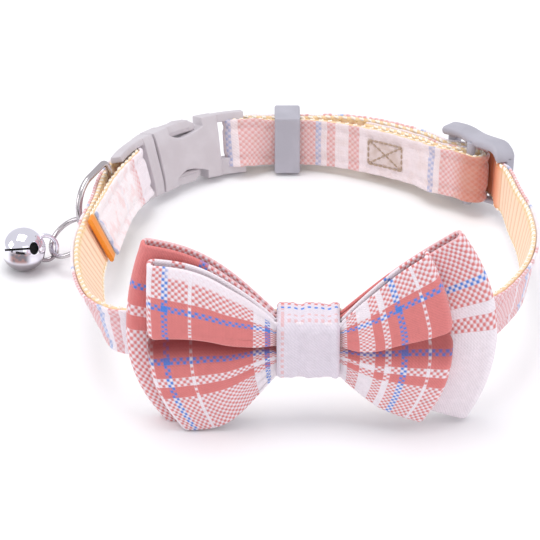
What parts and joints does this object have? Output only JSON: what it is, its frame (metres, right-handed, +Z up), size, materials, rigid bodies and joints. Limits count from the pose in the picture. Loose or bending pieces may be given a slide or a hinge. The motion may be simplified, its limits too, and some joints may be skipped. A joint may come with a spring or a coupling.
{
  "type": "pet collar",
  "caption": "Small plaid fabric pet collar with a double bow, side-release buckle, keeper loop, slider, D-ring and bell.",
  "frame": {"origin": "centre of the bounding box's base, on the surface that the collar lies on", "axes": "+X to the right across the loop and the bow, +Y from the bow towards the buckle, +Z up"},
  "size_m": [0.1036, 0.105, 0.0395],
  "materials": {
    "webbing": "ribbed cream webbing",
    "cover": "plaid cotton",
    "plastic": "satin lavender grey",
    "ring_steel": "polished nickel plate",
    "bell_metal": "bright chrome",
    "bow": "plaid cotton",
    "knot": "white plaid cotton"
  },
  "bodies": {
    "root": {"webbing": "webbing", "plaid_cover": "cover", "buckle_socket": "plastic", "buckle_prong": "plastic", "slider": "plastic", "keeper_loop": "plastic", "d_ring": "ring_steel", "jump_ring": "ring_steel", "bell": "bell_metal", "bow_back": "bow", "bow_front": "bow", "bow_knot": "knot"}
  },
  "joints": []
}
